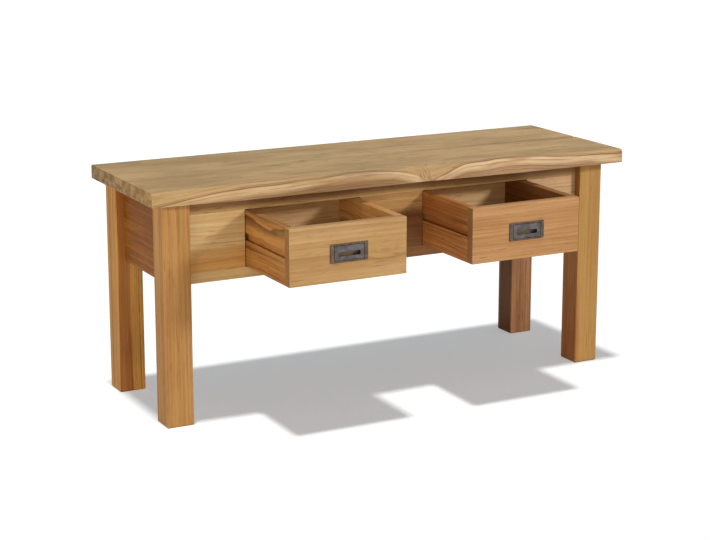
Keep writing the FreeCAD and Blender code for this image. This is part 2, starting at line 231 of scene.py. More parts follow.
def timber_figure_group():
    """Growth rings round a pith, with bands, blotches, streaks, fibres, pores, pale patches, dark marks and
    flecks, the sapwood outside and one knot. The board's place is counted from its pith."""
    w, given, out = new_group(
        "timber_figure",
        {
            "Place": ("vector", (0.0, 0.0, 0.0)),
            "Seed": ("value", 0.0),
            "Ring Width": ("value", 0.007),
            "Ring Depth": ("value", 0.3),
            "Wander": ("value", 0.008),
            "Bands": ("value", 1.0),
            "Clouds": ("value", 1.0),
            "Streaks": ("value", 1.0),
            "Flecks": ("value", 0.42),
            "Marks": ("value", 0.25),
            "Patches": ("value", 0.15),
            "Sapwood From": ("value", 9.0),
            "Sapwood Blend": ("value", 0.007),
            "Knot Place": ("vector", (9.0, 9.0, 9.0)),
            "Knot Reach": ("value", 0.02),
            "Knot Core": ("value", 1.0),
            "Pale": ("colour", tone("C09B68")),
            "Middle": ("colour", tone("AE8450")),
            "Dark": ("colour", tone("6E4524")),
            "Sapwood": ("colour", tone("D0AE80")),
        },
        {"Color": "colour", "Roughness": "value", "Height": "value"},
    )
    # Waves per metre along, across and through the board
    slow_waves = (1.3, 7.0, 7.0)
    quick_waves = (7.0, 40.0, 40.0)
    late_wood_waves = (1.6, 55.0, 55.0)
    band_waves = (0.8, 30.0, 30.0)
    blotch_waves = (6.0, 16.0, 16.0)
    streak_waves = (2.6, 230.0, 230.0)
    fibre_waves = (13.0, 650.0, 650.0)
    pore_waves = (75.0, 1900.0, 1900.0)
    patch_waves = (4.5, 14.0, 14.0)
    mark_waves = (7.0, 95.0, 95.0)
    fleck_waves = (26.0, 330.0, 330.0)
    year_waves = 60.0
    slow_stray = 2.4
    quick_stray = 0.22
    seed_way = (1.7, 0.61, 0.93)
    half = (0.5, 0.5, 0.5)
    knot_stretch = (0.42, 1.0, 1.0)
    year_unevenness = 2.2
    year_tone_step = 0.618
    place = given["Place"]
    own = w.vector("ADD", place, w.scaled(seed_way, given["Seed"]))

    # The rings stray slowly along the board, and a little more quickly on top of that
    slow = w.vector("SUBTRACT", w.cloud(own, slow_waves).outputs["Color"], half)
    quick = w.vector("SUBTRACT", w.cloud(own, quick_waves).outputs["Color"], half)
    strayed = w.vector("ADD", place, w.scaled(slow, w.math("MULTIPLY", given["Wander"], slow_stray)))
    strayed = w.vector("ADD", strayed, w.scaled(quick, w.math("MULTIPLY", given["Wander"], quick_stray)))

    # They swell out round the knot
    from_knot = w.vector("MULTIPLY", w.vector("SUBTRACT", place, given["Knot Place"]), knot_stretch)
    knot_share = w.math("DIVIDE", w.length(from_knot), given["Knot Reach"])
    swell = w.bell(knot_share)
    radius = w.length(w.vector("MULTIPLY", strayed, (0.0, 1.0, 1.0)))
    radius = w.math("ADD", radius, w.math("MULTIPLY", swell, given["Knot Reach"]))

    # Wide and narrow years, each with its own tone and a dark line of late wood
    years = w.math("DIVIDE", radius, given["Ring Width"])
    uneven = w.line_noise(w.math("ADD", w.math("MULTIPLY", radius, year_waves), given["Seed"]))
    years = w.math("ADD", years, w.math("MULTIPLY", uneven, year_unevenness))
    part_of_year = w.math("FRACT", years)
    late_start = w.step(part_of_year, 0.30, 0.93)
    late_end = w.step(part_of_year, 0.93, 1.0, 1.0, 0.0)
    fading = w.step(w.cloud(own, late_wood_waves, 1.0).outputs["Fac"], 0.34, 0.66, 0.15, 1.0)
    late = w.math("MULTIPLY", w.math("MULTIPLY", late_start, late_end), fading)
    year_count = w.math("ADD", w.math("MULTIPLY", w.math("FLOOR", years), year_tone_step), given["Seed"])
    year_tone = w.line_noise(year_count)

    # Bands, streaks and fibres that run along the grain
    bands = w.cloud(own, band_waves, 1.5).outputs["Fac"]
    blotches = w.cloud(own, blotch_waves, 3.0, 0.6).outputs["Fac"]
    streaks = w.cloud(own, streak_waves).outputs["Fac"]
    fibres = w.cloud(own, fibre_waves).outputs["Fac"]
    pores = w.step(w.cloud(own, pore_waves, 1.0).outputs["Fac"], 0.60, 0.72)
    shade = w.math("ADD", 0.5, w.math("MULTIPLY", w.about_nought(bands, 1.2), given["Bands"]))
    shade = w.math("ADD", shade, w.math("MULTIPLY", w.about_nought(blotches, 0.9), given["Clouds"]))
    shade = w.math("ADD", shade, w.about_nought(year_tone, 0.7))
    fine = w.math("ADD", w.about_nought(streaks, 2.0), w.about_nought(fibres, 1.0))
    shade = w.math("ADD", shade, w.math("MULTIPLY", fine, given["Streaks"]))
    shade = w.step(shade, 0.0, 1.0)

    # The tones, with the sapwood outside a radius, then the marks on top
    wood = w.mix(shade, given["Pale"], given["Middle"])
    sap_edge = w.math("ADD", given["Sapwood From"], given["Sapwood Blend"])
    sap = w.step(radius, given["Sapwood From"], sap_edge)
    sapwood = w.mix(w.math("MULTIPLY", shade, 0.55), given["Sapwood"], given["Middle"])
    wood = w.mix(sap, wood, sapwood)
    wood = w.mix(w.math("MULTIPLY", late, given["Ring Depth"]), wood, given["Dark"])
    wood = w.mix(w.math("MULTIPLY", pores, 0.28), wood, given["Dark"])
    patches = w.step(w.cloud(own, patch_waves).outputs["Fac"], 0.42, 0.62)
    wood = w.mix(w.math("MULTIPLY", patches, given["Patches"]), wood, given["Sapwood"])
    marks = w.step(w.cloud(own, mark_waves, 1.0).outputs["Fac"], 0.66, 0.80)
    wood = w.mix(w.math("MULTIPLY", marks, given["Marks"]), wood, given["Dark"])
    flecks = w.step(w.cloud(own, fleck_waves, 1.0).outputs["Fac"], 0.66, 0.74)
    wood = w.mix(w.math("MULTIPLY", flecks, given["Flecks"]), wood, given["Dark"])

    # The knot's dark core with its own fine rings
    core = w.step(knot_share, 0.20, 0.42, 1.0, 0.0)
    core_rings = w.math("SINE", w.math("MULTIPLY", knot_share, 55.0))
    core_tone = w.math("ADD", 0.62, w.math("MULTIPLY", core_rings, 0.22))
    core_share = w.math("MULTIPLY", w.math("MULTIPLY", core, core_tone), given["Knot Core"])
    wood = w.mix(core_share, wood, given["Dark"])

    w.feed(out["Color"], wood)
    rough = w.math("ADD", 0.54, w.math("MULTIPLY", pores, 0.15))
    w.feed(out["Roughness"], w.math("ADD", rough, w.about_nought(fibres, 0.16)))
    height = w.math("MULTIPLY", w.about_nought(fibres, 1.0), given["Streaks"])
    height = w.math("SUBTRACT", height, w.math("MULTIPLY", pores, 0.8))
    w.feed(out["Height"], w.math("SUBTRACT", height, w.math("MULTIPLY", late, 0.3)))
    return w.tree


def rubbed_edges_group():
    """Where edges are rubbed by use: a mask that is broken up along the edge."""
    w, given, out = new_group(
        "rubbed_edges",
        {"Place": ("vector", (0.0, 0.0, 0.0)), "Reach": ("value", 0.0015)},
        {"Edge": "value"},
    )
    worn_waves = (55.0, 55.0, 55.0)
    rounded = w.node("Bevel", samples=4)
    w.feed(rounded.inputs["Radius"], given["Reach"])
    surface = w.node("NewGeometry")
    bend = w.math("SUBTRACT", 1.0, w.alike(rounded.outputs["Normal"], surface.outputs["Normal"]))
    broken = w.step(w.cloud(given["Place"], worn_waves, 3.0).outputs["Fac"], 0.32, 0.68)
    w.feed(out["Edge"], w.math("MULTIPLY", w.step(bend, 0.02, 0.22), broken))
    return w.tree


def end_grain_group():
    """How far a face lies across the grain, with its speckle and the small checks that open there as a board
    dries."""
    w, given, out = new_group(
        "end_grain",
        {"Place": ("vector", (0.0, 0.0, 0.0)), "Grain": ("vector", (1.0, 0.0, 0.0))},
        {"Across": "value", "Speckle": "value", "Checks": "value"},
    )
    check_waves = (4.0, 45.0, 260.0)
    speckle_waves = (20.0, 60.0, 85.0)
    facing = w.node("TexCoord").outputs["Normal"]
    across = w.step(w.math("ABSOLUTE", w.alike(facing, given["Grain"])), 0.75, 0.95)
    cracks = w.cloud(given["Place"], check_waves, 3.0, 0.6).outputs["Fac"]
    speckle = w.cloud(given["Place"], speckle_waves, 4.0, 0.62).outputs["Fac"]
    w.feed(out["Across"], across)
    w.feed(out["Speckle"], w.math("MULTIPLY", across, w.step(speckle, 0.36, 0.66)))
    w.feed(out["Checks"], w.math("MULTIPLY", across, w.step(cracks, 0.58, 0.70)))
    return w.tree


def patina_group():
    """Dark bronze in two clouded tones, with mossy green places, dark specks, brown where hands have rubbed
    its edges, and paler metal as a painted highlight where a mask is given."""
    w, given, out = new_group(
        "patina",
        {
            "Place": ("vector", (0.0, 0.0, 0.0)),
            "Edge": ("value", 0.0),
            "Bare": ("value", 0.0),
            "Deep": ("colour", tone("4B423A")),
            "Clouded": ("colour", tone("615852")),
        },
        {"Color": "colour", "Roughness": "value", "Height": "value"},
    )
    cloud_waves = (95.0, 95.0, 95.0)
    moss_waves = (60.0, 60.0, 140.0)
    speck_waves = (900.0, 900.0, 900.0)
    moss_tone = tone("50554A")
    speck_tone = tone("2A231D")
    rubbed_tone = tone("8A5F38")
    pan_highlight_tone = tone("8E765A")
    place = given["Place"]
    clouds = w.cloud(place, cloud_waves, 3.0, 0.6).outputs["Fac"]
    moss = w.cloud(place, moss_waves).outputs["Fac"]
    specks = w.cloud(place, speck_waves).outputs["Fac"]
    metal = w.mix(w.step(clouds, 0.34, 0.66), given["Deep"], given["Clouded"])
    metal = w.mix(w.step(moss, 0.50, 0.68, 0.0, 0.6), metal, moss_tone)
    metal = w.mix(w.step(specks, 0.55, 0.75, 0.0, 0.45), metal, speck_tone)
    metal = w.mix(w.math("MULTIPLY", given["Edge"], 0.85), metal, rubbed_tone)
    # Painted highlight: paler metal where the mask is given.
    metal = w.mix(w.math("MULTIPLY", given["Bare"], 0.7), metal, pan_highlight_tone)
    w.feed(out["Color"], metal)
    w.feed(out["Roughness"], w.math("ADD", 0.36, w.math("MULTIPLY", clouds, 0.22)))
    w.feed(out["Height"], w.math("ADD", specks, w.math("MULTIPLY", clouds, 1.5)))
    return w.tree


def bark_edge_group():
    """Masks for the natural edge: its warmer face, the pale young wood under the crest, painted shade
    darkening it towards the underside, the fine lines that follow the old outside of the tree, and the smears
    of the knot.
    Layers gives the place along the seat, the distance above the crest and the height above the underside."""
    w, given, out = new_group(
        "bark_edge",
        {"Layers": ("vector", (0.0, 0.0, 0.0)), "Knot Along": ("value", 0.0)},
        {"Face": "value", "Pale": "value", "Under": "value", "Lines": "value", "Knot": "value"},
    )
    # Waves per metre along the seat, across the layers and up the edge
    stray_waves = (16.0, 70.0, 0.0)
    break_waves = (9.0, 170.0, 0.0)
    patch_waves = (10.0, 60.0, 0.0)
    smear_waves = (330.0, 0.0, 45.0)
    line_waves = 560.0
    stray_reach = 0.0036
    knot_reach = 0.010
    crest_width = 0.0010
    layers = given["Layers"]
    parted = w.node("SeparateXYZ")
    w.feed(parted.inputs[0], layers)
    along, above, height = parted.outputs
    stray = w.about_nought(w.cloud(layers, stray_waves, 3.0).outputs["Fac"], stray_reach)
    layer = w.math("ADD", above, stray)

    from_knot = w.math("DIVIDE", w.math("SUBTRACT", along, given["Knot Along"]), knot_reach)

    # Lines along the crest, dense near it, fewer over the top and faint beside the knot
    crest = w.bell(w.math("DIVIDE", layer, crest_width))
    fine = w.step(w.line_noise(w.math("MULTIPLY", layer, line_waves)), 0.50, 0.66)
    broken = w.step(w.cloud(layers, break_waves).outputs["Fac"], 0.32, 0.56)
    near = w.step(layer, 0.004, 0.020, 1.0, 0.14)
    beside_knot = w.step(w.math("ABSOLUTE", from_knot), 1.0, 4.5, 0.3, 1.0)
    lines = w.math("MULTIPLY", w.math("MULTIPLY", fine, broken), near)
    crest_line = w.math("MULTIPLY", crest, w.step(broken, 0.0, 1.0, 0.4, 1.0))
    w.feed(out["Lines"], w.math("MULTIPLY", w.math("MAXIMUM", lines, crest_line), beside_knot))

    # The face fades up to the top, and the young wood is palest at the right
    over = w.step(layer, -0.001, 0.005, 1.0, 0.5)
    w.feed(out["Face"], w.math("MULTIPLY", over, w.step(height, 0.016, 0.046, 1.0, 0.0)))
    below_crest = w.step(layer, -0.0016, -0.0002, 1.0, 0.0)
    patches = w.step(w.cloud(layers, patch_waves).outputs["Fac"], 0.34, 0.58)
    pale = w.math("MULTIPLY", below_crest, w.step(layer, -0.018, -0.009))
    pale = w.math("MULTIPLY", pale, w.step(along, 0.05, 0.20, 0.66, 1.0))
    w.feed(out["Pale"], w.math("MULTIPLY", pale, patches))
    # Painted shade: the edge darkens below its crest towards the underside.
    w.feed(out["Under"], w.step(layer, -0.017, -0.008, 1.0, 0.0))

    # The knot's smears run down to the underside
    smears = w.step(w.cloud(layers, smear_waves).outputs["Fac"], 0.42, 0.60)
    low_down = w.step(height, 0.006, 0.034, 1.0, 0.0)
    w.feed(out["Knot"], w.math("MULTIPLY", w.math("MULTIPLY", w.bell(from_knot), low_down), smears))
    return w.tree


timber_figure = timber_figure_group()
bark_edge = bark_edge_group()
rubbed_edges = rubbed_edges_group()
end_grain = end_grain_group()
patina = patina_group()


def new_material(name):
    """A material with a Principled shader, and the wiring to add to it."""
    material = bpy.data.materials.new(name)
    material.use_nodes = True
    shader = material.node_tree.nodes["Principled BSDF"]
    return material, Wiring(material.node_tree), shader


def give_relief(w, shader, height, relief):
    """Feeds a height to the shader's normal."""
    bump = w.node("Bump")
    bump.inputs["Strength"].default_value, bump.inputs["Distance"].default_value = relief
    w.feed(bump.inputs["Height"], height)
    w.feed(shader.inputs["Normal"], bump.outputs["Normal"])


# Sets of tones for the boards: pale, middle, dark and sapwood
tones = {
    "seat": ("AC9266", "987C51", "6E5331", "B7966B"),
    "amber": ("A9804E", "97693A", "673E1F", "B99257"),
    "heartwood": ("AF794A", "9C6436", "6E3E20", "AA854C"),
    "striped": ("A06A3A", "8A5229", "552D15", "C8964F"),
    "walnut": ("6B4624", "573419", "361F0D", "A97A55"),
    "straw": ("C4A777", "B38D5A", "7E582F", "CBAE80"),
    "wheat": ("BE8E4E", "AE7438", "70441F", "C0A87C"),
    "blush": ("C2A07A", "AE8860", "7A5636", "C9AA86"),
    # The top rail's tones are darkened as a painted shadow of the seat.
    "shaded": ("8C6847", "79583A", "4A3124", "B4905F"),
    # Partly painted shade: the centre panel's dark tones stand in for the drawers' shadow below its pale
    # sapwood.
    "russet": ("7E5233", "6A4427", "412718", "BA905A"),
    "cherry": ("8E5A22", "744414", "3C2008", "9C6C34"),
    "chestnut": ("B27F48", "946132", "462A15", "BE9664"),
    "auburn": ("C68749", "A46735", "52301A", "C8985E"),
    # Brightened to paint light inside the left drawer.
    "apricot": ("EEB877", "DCA05E", "82522C", "EEC894"),
    "honey": ("B69567", "A47E4F", "724D2C", "BEA074"),
    "rosy": ("B08558", "9D7045", "6B4429", "BC976A"),
    "umber": ("8A5E36", "734924", "452813", "A87E50"),
    "planed": ("CCA878", "B89062", "84603C", "D4B68A"),
}
check_tone = "2E1D10"
# The tone that darkens the middle of the bottom rail: partly its red heart and partly painted shade of the
# drawers.
heart_and_shade_tone = "734124"
stain_tone = "553A20"
speckle_share = 0.50
check_share = 0.45
stain_share = 0.60
# What the natural edge adds to the wood, in this order: the part, its share and its tone
edge_layers = (
    ("Face", 0.58, "9C7A57"),
    # Painted shade under the crest of the natural edge.
    ("Under", 0.40, "86644E"),
    ("Pale", 0.80, "C9AD88"),
    ("Lines", 0.64, "5A3C22"),
    ("Knot", 0.72, "6A4226"),
)

grain_orders = {"X": ("X", "Y", "Z"), "Y": ("Y", "X", "Z"), "Z": ("Z", "X", "Y")}
grain_lines = {"X": (1.0, 0.0, 0.0), "Y": (0.0, 1.0, 0.0), "Z": (0.0, 0.0, 1.0)}


def board_place(w, middle, grain):
    """A board's own coordinates: along its grain, across it and through it, from its middle."""
    coordinate = w.node("TexCoord").outputs["Object"]
    parted = w.node("SeparateXYZ")
    w.feed(parted.inputs[0], w.vector("SUBTRACT", coordinate, middle))
    joined = w.node("CombineXYZ")
    for socket, axis in zip(joined.inputs, grain_orders[grain]):
        w.feed(socket, parted.outputs[axis])
    return joined.outputs[0]


def natural_edge(w, colour, knot_along):
    """Adds the lines and tones of the natural edge to a board's colour."""
    layers = w.node("Attribute", attribute_name="bark_layers").outputs["Vector"]
    bark = w.group(bark_edge, Layers=layers, Knot_Along=knot_along)
    for part, share, code in edge_layers:
        colour = w.mix(w.math("MULTIPLY", bark.outputs[part], share), colour, tone(code))
    return colour


def timber(
    name, middle, grain, tone_name, pith, seed, drawn=False, knot_along=None, worn=0.35,
    end_marks=1.0, end_shade=0.22, handled=0.0, heart=None, **figure
):
    """A board's material. The pith lies across and through the board from its middle. A drawn board brings
    its own course of the grain as an attribute of its mesh, and a board with knot_along has a natural edge.
    Worn is how pale its edges are rubbed, end_marks and end_shade how marked and how dark its end grain is.
    The share that darkens its upward faces paints shade on them. The dark middle of the length is partly a
    red heart and partly painted shade of the drawers: how near it is full, how far it reaches, and its share."""
    material, w, shader = new_material(name)
    if drawn:
        place = w.node("Attribute", attribute_name="grain_course").outputs["Vector"]
    else:
        place = board_place(w, middle, grain)
    from_pith = w.vector("SUBTRACT", place, (0.0, *pith))
    pale, middle_tone, dark, sapwood = (tone(code) for code in tones[tone_name])
    figured = w.group(
        timber_figure, Place=from_pith, Seed=seed, Pale=pale, Middle=middle_tone, Dark=dark,
        Sapwood=sapwood, **figure,
    )
    edges = w.group(rubbed_edges, Place=place)
    ends = w.group(end_grain, Place=place, Grain=grain_lines[grain])
    colour = figured.outputs["Color"]
    for part, share, end_tone in (
        ("Across", end_shade, dark),
        ("Speckle", speckle_share * end_marks, dark),
        ("Checks", check_share * end_marks, tone(check_tone)),
    ):
        colour = w.mix(w.math("MULTIPLY", ends.outputs[part], share), colour, end_tone)
    colour = w.mix(w.math("MULTIPLY", edges.outputs["Edge"], worn), colour, pale)
    # Painted shade: upward faces darkened towards the dark tone.
    if handled:
        upward = w.alike(w.node("TexCoord").outputs["Normal"], (0.0, 0.0, 1.0))
        colour = w.mix(w.step(upward, 0.7, 0.95, 0.0, handled), colour, dark)
    # Partly painted shade and partly a red heart: the middle of the length darkened.
    if heart:
        near, far, share = heart
        along = w.math("ABSOLUTE", w.alike(place, (1.0, 0.0, 0.0)))
        colour = w.mix(w.step(along, near, far, share, 0.0), colour, tone(heart_and_shade_tone))
    if knot_along is not None:
        colour = natural_edge(w, colour, knot_along)
    if drawn:
        stain = w.node("Attribute", attribute_name="joint_stain").outputs["Fac"]
        colour = w.mix(w.math("MULTIPLY", stain, stain_share), colour, tone(stain_tone))
    w.feed(shader.inputs["Base Color"], colour)
    w.feed(shader.inputs["Roughness"], figured.outputs["Roughness"])
    shader.inputs["Specular IOR Level"].default_value = wood_gloss
    height = w.math("SUBTRACT", figured.outputs["Height"], ends.outputs["Checks"])
    give_relief(w, shader, height, wood_relief)
    return material


# From where to where, towards the rear, a pull's metal gets a painted highlight of paler metal: on the floor
# of its pan
pan_floor = (-0.2815, -0.2785)
rubbed_reach = 0.0007


def bronze_material(name, deep, clouded):
    """Aged bronze in two main tones."""
    material, w, shader = new_material(name)
    place = w.node("TexCoord").outputs["Object"]
    edges = w.group(rubbed_edges, Place=place, Reach=rubbed_reach)
    parted = w.node("SeparateXYZ")
    w.feed(parted.inputs[0], place)
    # Painted highlight: paler metal on the floor of the pan.
    pan_highlight = w.step(parted.outputs["Y"], *pan_floor)
    aged = w.group(
        patina, Place=place, Edge=edges.outputs["Edge"], Bare=pan_highlight, Deep=tone(deep), Clouded=tone(clouded),
    )
    w.feed(shader.inputs["Base Color"], aged.outputs["Color"])
    w.feed(shader.inputs["Roughness"], aged.outputs["Roughness"])
    shader.inputs["Metallic"].default_value = bronze_metallic
    give_relief(w, shader, aged.outputs["Height"], bronze_relief)
    return material


def zinc_material():
    """The yellowed zinc of the screws, with fine turning marks."""
    turning_waves = (600.0, 600.0, 2500.0)
    stain_waves = (120.0, 120.0, 120.0)
    bright_zinc = tone("CFC39A")
    dull_zinc = tone("A8986C")
    material, w, shader = new_material("screw_zinc")
    place = w.node("TexCoord").outputs["Object"]
    turned = w.cloud(place, turning_waves).outputs["Fac"]
    stain = w.cloud(place, stain_waves, 3.0).outputs["Fac"]
    w.feed(shader.inputs["Base Color"], w.mix(w.step(stain, 0.35, 0.70), bright_zinc, dull_zinc))
    w.feed(shader.inputs["Roughness"], w.math("ADD", 0.28, w.math("MULTIPLY", turned, 0.2)))
    shader.inputs["Metallic"].default_value = 1.0
    give_relief(w, shader, turned, zinc_relief)
    return material


# Each board that keeps its solid: grain, tones, the pith's place across and through it, and its figure.
# The boards inside are alike, and only their piths differ.
boards = {
    "leg_front_left": ("Z", "amber", (0.035, -0.060), dict(Ring_Width=0.0065, Ring_Depth=0.20, Bands=0.6)),
    # Partly painted shade: the pith and sapwood are placed so that the left face, where the drawer's shade
    # falls, is darker and redder than the front.
    "leg_front_right": (
        "Z", "heartwood", (-0.050, 0.070),
        dict(Ring_Width=0.007, Ring_Depth=0.16, Bands=0.6, Sapwood_From=0.094, Sapwood_Blend=0.006),
    ),
    "leg_rear_left": (
        "Z", "striped", (-0.010, -0.040), dict(Ring_Width=0.005, Ring_Depth=0.5, Sapwood_From=0.0172),
    ),
    # Painted shade: the sapwood is set so that the left face, in shade under the bench, takes the dark heart
    # tone and the front the paler sapwood.
    "leg_rear_right": (
        "Z", "walnut", (-0.032, 0.0), dict(Ring_Width=0.006, Ring_Depth=0.28, Sapwood_From=0.019),
    ),
    # Painted shade: the rail's dark tones paint the seat's shadow on its upper part, and the pale sapwood at
    # its lower edge paints the lit strip below that shadow.
    "front_top_rail": (
        "X", "shaded", (0.050, 0.030),
        dict(Ring_Width=0.006, Ring_Depth=0.22, Wander=0.002, Sapwood_From=0.0675, Sapwood_Blend=0.0040),
    ),
    # Its middle is darkened, partly as a red heart and partly as painted shade of the drawers above it.
    "front_bottom_rail": (
        "X", "straw", (0.060, -0.020),
        dict(Ring_Width=0.006, Ring_Depth=0.22, heart=(0.05, 0.30, 0.72)),
    ),
    # Partly painted light and shade: the pale sapwood lies towards the top, where the key lamp lights the
    # panel, and the orange wood below, where the drawer's shadow falls.
    "front_panel_left": (
        "X", "wheat", (0.020, -0.080),
        dict(
            Ring_Width=0.006, Ring_Depth=0.16, Wander=0.020, Bands=0.6, Streaks=0.8,
            Sapwood_From=0.052, Sapwood_Blend=0.050,
        ),
    ),
    # Partly painted shade: the dark red-brown lower part paints the shadow of the drawers on the panel, and
    # the pale sapwood above stays where light falls; the red-brown tone is partly the panel's own.
    "front_panel_centre": (
        "X", "russet", (0.045, -0.030),
        dict(Ring_Width=0.008, Ring_Depth=0.26, Sapwood_From=0.069, Sapwood_Blend=0.012),
    ),
    "front_panel_right": ("X", "blush", (0.055, 0.040), dict(Ring_Width=0.007, Ring_Depth=0.24)),
    "rear_apron": ("X", "cherry", (-0.050, 0.020), dict(Ring_Width=0.009, Ring_Depth=0.34)),
    "end_apron_left": (
        "Y", "cherry", (0.060, 0.045),
        dict(Ring_Width=0.009, Ring_Depth=0.12, Clouds=2.2, Streaks=1.3, Patches=0.3),
    ),
    "end_apron_right": ("Y", "cherry", (-0.045, 0.020), dict(Ring_Width=0.007, Ring_Depth=0.32)),
}
inner_boards = {
    "top_cleat_left": (0.030, 0.020),
    "top_cleat_right": (-0.030, 0.025),
    "guide_board_left_outer": (0.050, 0.040),
    "guide_board_left_inner": (-0.050, 0.030),
    "guide_board_right_inner": (0.045, -0.040),
    "guide_board_right_outer": (-0.055, -0.030),
    "runner_left_outer": (0.030, 0.020),
    "runner_left_inner": (-0.030, 0.025),
    "runner_right_inner": (0.035, -0.020),
    "runner_right_outer": (-0.035, 0.020),
}
# The drawer boards' upward faces are darkened as painted shade.
drawer_boards = {
    "drawer_left_front": (
        "X", "honey", (0.050, -0.035),
        dict(
            Ring_Width=0.0075, Ring_Depth=0.40, Bands=0.6, Streaks=0.55,
            Knot_Place=(0.068, -0.059, 0.030), Knot_Reach=0.014, Knot_Core=0.25,
            end_marks=0.3, end_shade=0.6, handled=0.22,
        ),
    ),
    "drawer_left_side_left": (
        "Y", "chestnut", (0.034, 0.020),
        dict(Ring_Width=0.008, Ring_Depth=0.92, Wander=0.046, Bands=1.4, handled=0.15),
    ),
    # Painted light: this side's bright tones stand in for light inside the drawer, and its upward faces are
    # darkened as painted shade.
    "drawer_left_side_right": (
        "Y", "apricot", (0.030, 0.050),
        dict(
            Ring_Width=0.007, Ring_Depth=0.55, Sapwood_From=0.062,
            Knot_Place=(0.070, -0.030, -0.040), Knot_Reach=0.020, Knot_Core=0.15, handled=0.55,
        ),
    ),
    "drawer_left_back": ("X", "planed", (0.040, 0.020), dict(Ring_Width=0.008, Ring_Depth=0.4, Clouds=2.0)),
    "drawer_left_floor": ("X", "planed", (0.050, 0.040), dict(Ring_Width=0.008, Ring_Depth=0.24)),
    "drawer_right_front": (
        "X", "rosy", (0.060, 0.050),
        dict(Ring_Width=0.0034, Ring_Depth=0.20, Bands=0.6, end_marks=0.3, end_shade=0.45, handled=0.22),
    ),
    "drawer_right_side_left": (
        "Y", "auburn", (0.040, 0.030),
        dict(Ring_Width=0.007, Ring_Depth=0.60, Wander=0.034, Bands=1.4, handled=0.4),
    ),
    "drawer_right_side_right": ("Y", "umber", (0.045, -0.030), dict(Ring_Width=0.007, Ring_Depth=0.32)),
    "drawer_right_back": ("X", "planed", (-0.040, 0.015), dict(Ring_Width=0.007, Ring_Depth=0.4, Clouds=2.0)),
    "drawer_right_floor": ("X", "planed", (0.050, -0.040), dict(Ring_Width=0.008, Ring_Depth=0.24)),
}


def middle_of(node):
    """The middle of a solid's box."""
    low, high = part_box(node)
    return tuple((a + b) / 2 for a, b in zip(low, high))


def dress(node, material):
    """Gives a solid its finish."""
    solid = cad_nodes[node]
    solid.data.materials.clear()
    solid.data.materials.append(material)


def ease_edges(node, width):
    """Breaks the sharp edges of a solid."""
    solid = cad_nodes[node]
    weld = solid.modifiers.new("joined_faces", "WELD")
    weld.merge_threshold = weld_distance
    bevel = solid.modifiers.new("eased_edges", "BEVEL")
    bevel.width = width
    bevel.segments = easing_segments
    bevel.limit_method = "ANGLE"
    bevel.angle_limit = math.radians(easing_angle)
    bevel.harden_normals = True


def dress_boards():
    """Finishes every board that keeps its solid."""
    seed = 0.0
    for node, (grain, tone_name, pith, figure) in {**boards, **drawer_boards}.items():
        seed += seed_step
        dress(node, timber("wood_" + node, middle_of(node), grain, tone_name, pith, seed, **figure))
        ease_edges(node, board_easing)
    for node, pith in inner_boards.items():
        seed += seed_step
        dress(node, timber("wood_" + node, middle_of(node), "Y", "planed", pith, seed, worn=0.2))
        ease_edges(node, board_easing)


def dress_metal():
    """Finishes the pulls and the screws."""
    brown_bronze = bronze_material("brown_bronze", "4E4238", "68584A")
    grey_bronze = bronze_material("grey_bronze", "4F4949", "656062")
    finishes = {"pull_plate": brown_bronze, "pull_bail": grey_bronze, "pull_pin": brown_bronze}
    zinc = zinc_material()
    for side in ("left", "right"):
        for piece, bronze in finishes.items():
            node = "drawer_" + side + "_" + piece
            dress(node, bronze)
            ease_edges(node, metal_easing)
    for node in ("top_screws", "runner_screws"):
        dress(node, zinc)
        ease_edges(node, metal_easing)


def fill_between(bm, first, second):
    """Faces between two closed rings of points."""
    for i in range(len(first)):
        j = (i + 1) % len(first)
        bm.faces.new((first[i], first[j], second[j], second[i]))


def plank(name, sections, vectors, stains):
    """A closed mesh through rings of points along a board, with named vectors and the stain at each point."""
    bm = bmesh.new()
    rings = [[bm.verts.new(point) for point in section] for section in sections]
    for first, second in zip(rings, rings[1:]):
        fill_between(bm, first, second)
    bm.faces.new(list(reversed(rings[0])))
    bm.faces.new(rings[-1])
    bmesh.ops.recalc_face_normals(bm, faces=bm.faces)
    mesh = bpy.data.meshes.new(name)
    bm.to_mesh(mesh)
    bm.free()
    for label, rows in vectors.items():
        attribute = mesh.attributes.new(label, "FLOAT_VECTOR", "POINT")
        attribute.data.foreach_set("vector", [part for row in rows for value in row for part in value])
    stained = mesh.attributes.new("joint_stain", "FLOAT", "POINT")
    stained.data.foreach_set("value", [value for row in stains for value in row])
    board = bpy.data.objects.new(name, mesh)
    bpy.context.scene.collection.objects.link(board)
    return board


def smooth_within(board, angle):
    """Shades a mesh smooth, with edges sharper than an angle left crisp."""
    mesh = board.data
    mesh.polygons.foreach_set("use_smooth", [True] * len(mesh.polygons))
    mesh.set_sharp_from_angle(angle=math.radians(angle))


# Seat boards: the stations along them, and their eased ends
station_gap = 0.003
end_easing = 0.0012
easing_turns = (0.0, 0.35, 0.7, 1.0)

# The glued joint between them, which has opened towards the right end and has a chip there
joint_open_from = 0.06
joint_opening = 0.0006
joint_curve = 1.5
joint_waves = 40
joint_least = 0.0004
joint_land = 0.012
joint_slope = 1.6
chip_reach = 0.016
chip_size = 0.0035
chip_curve = 1.3
stain_reach = 0.0026

# The rear edge
rear_rounding = 0.002
rounding_steps = 4
top_strips = 4

# The natural edge: the shares of its height at which it is drawn, and the strips of the top behind it,
# for a board of the usual depth
edge_heights = (
    0.0, 0.02, 0.06, 0.11, 0.17, 0.24, 0.31, 0.38, 0.45, 0.52, 0.59, 0.66, 0.73, 0.80, 0.86, 0.91, 0.95,
    0.98, 1.0,
)
arris_drop = 0.00042
top_spread = (0.003, 0.007, 0.013, 0.021, 0.032, 0.046, 0.063, 0.084)
usual_depth = 0.15
lump_height = 0.0007
lump_waves = (16, 45)
fibre_height = 0.00035
fibre_waves = (22, 420)
fibre_slant = 300

